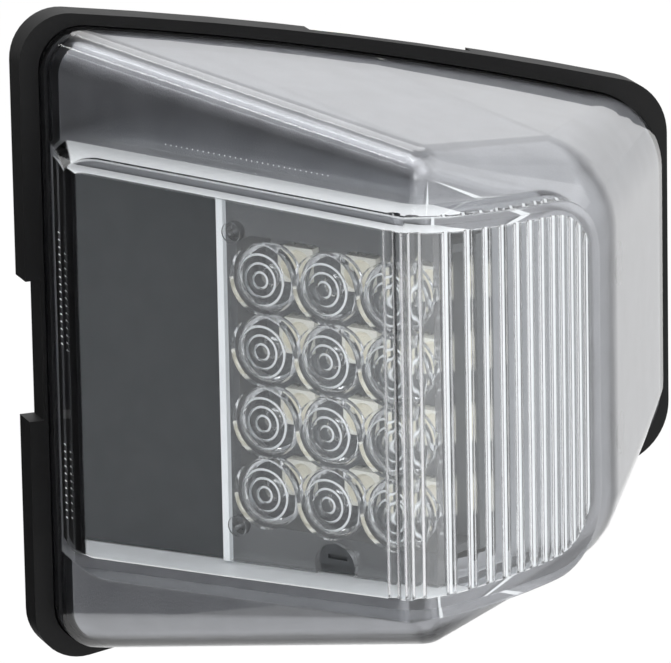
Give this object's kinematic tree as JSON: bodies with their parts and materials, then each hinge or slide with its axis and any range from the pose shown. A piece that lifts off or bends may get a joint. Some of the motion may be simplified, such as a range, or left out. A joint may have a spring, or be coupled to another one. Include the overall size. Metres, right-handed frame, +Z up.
{
  "type": "side repeater lamp",
  "caption": "Wedge-shaped side repeater lamp: clear lens with a raised fluted window over LEDs and collimators, silver bezel, black housing and rubber gasket.",
  "frame": {"origin": "midway between the two fixing holes, on the mounting plane at the gasket's rear face", "axes": "+X along the lamp towards its low end, +Y into the vehicle, +Z up"},
  "size_m": [0.1, 0.0907, 0.0964],
  "materials": {
    "lens_clear": "clear polycarbonate, polished mould",
    "bezel_silver": "silver metallised plastic, satin",
    "carrier_grey": "dark grey moulded plastic, satin",
    "optic_clear": "clear acrylic, polished mould",
    "board_grey": "circuit board with grey solder resist",
    "led_cream": "cream LED package with tinned leads",
    "chip_black": "black moulded component",
    "can_aluminium": "drawn can",
    "screw_steel": "zinc plated",
    "lead_red": "insulated wire",
    "housing_black": "black moulded plastic, fine texture",
    "gasket_rubber": "black moulded rubber",
    "insert_brass": "turned",
    "terminal_tin": "tinned",
    "seal_orange": "moulded silicone",
    "vent_grey": "moulded cap",
    "clip_nylon": "natural white nylon"
  },
  "bodies": {
    "root": {"outer_lens": "lens_clear", "bezel": "bezel_silver", "optic_carrier": "carrier_grey", "optic_plate": "optic_clear", "circuit_board": "board_grey", "led_1": "led_cream", "led_2": "led_cream", "led_3": "led_cream", "led_4": "led_cream", "led_5": "led_cream", "led_6": "led_cream", "led_7": "led_cream", "led_8": "led_cream", "led_9": "led_cream", "led_10": "led_cream", "led_11": "led_cream", "led_12": "led_cream", "resistor_1": "chip_black", "resistor_2": "chip_black", "resistor_3": "chip_black", "resistor_4": "chip_black", "driver_chip": "chip_black", "capacitor": "can_aluminium", "diode": "chip_black", "board_screws": "screw_steel", "jumper_leads": "lead_red", "housing": "housing_black", "gasket": "gasket_rubber", "threaded_inserts": "insert_brass", "terminals": "terminal_tin", "connector_seal": "seal_orange", "breather_vent": "vent_grey", "clip_top": "clip_nylon", "clip_bottom": "clip_nylon"}
  },
  "joints": []
}
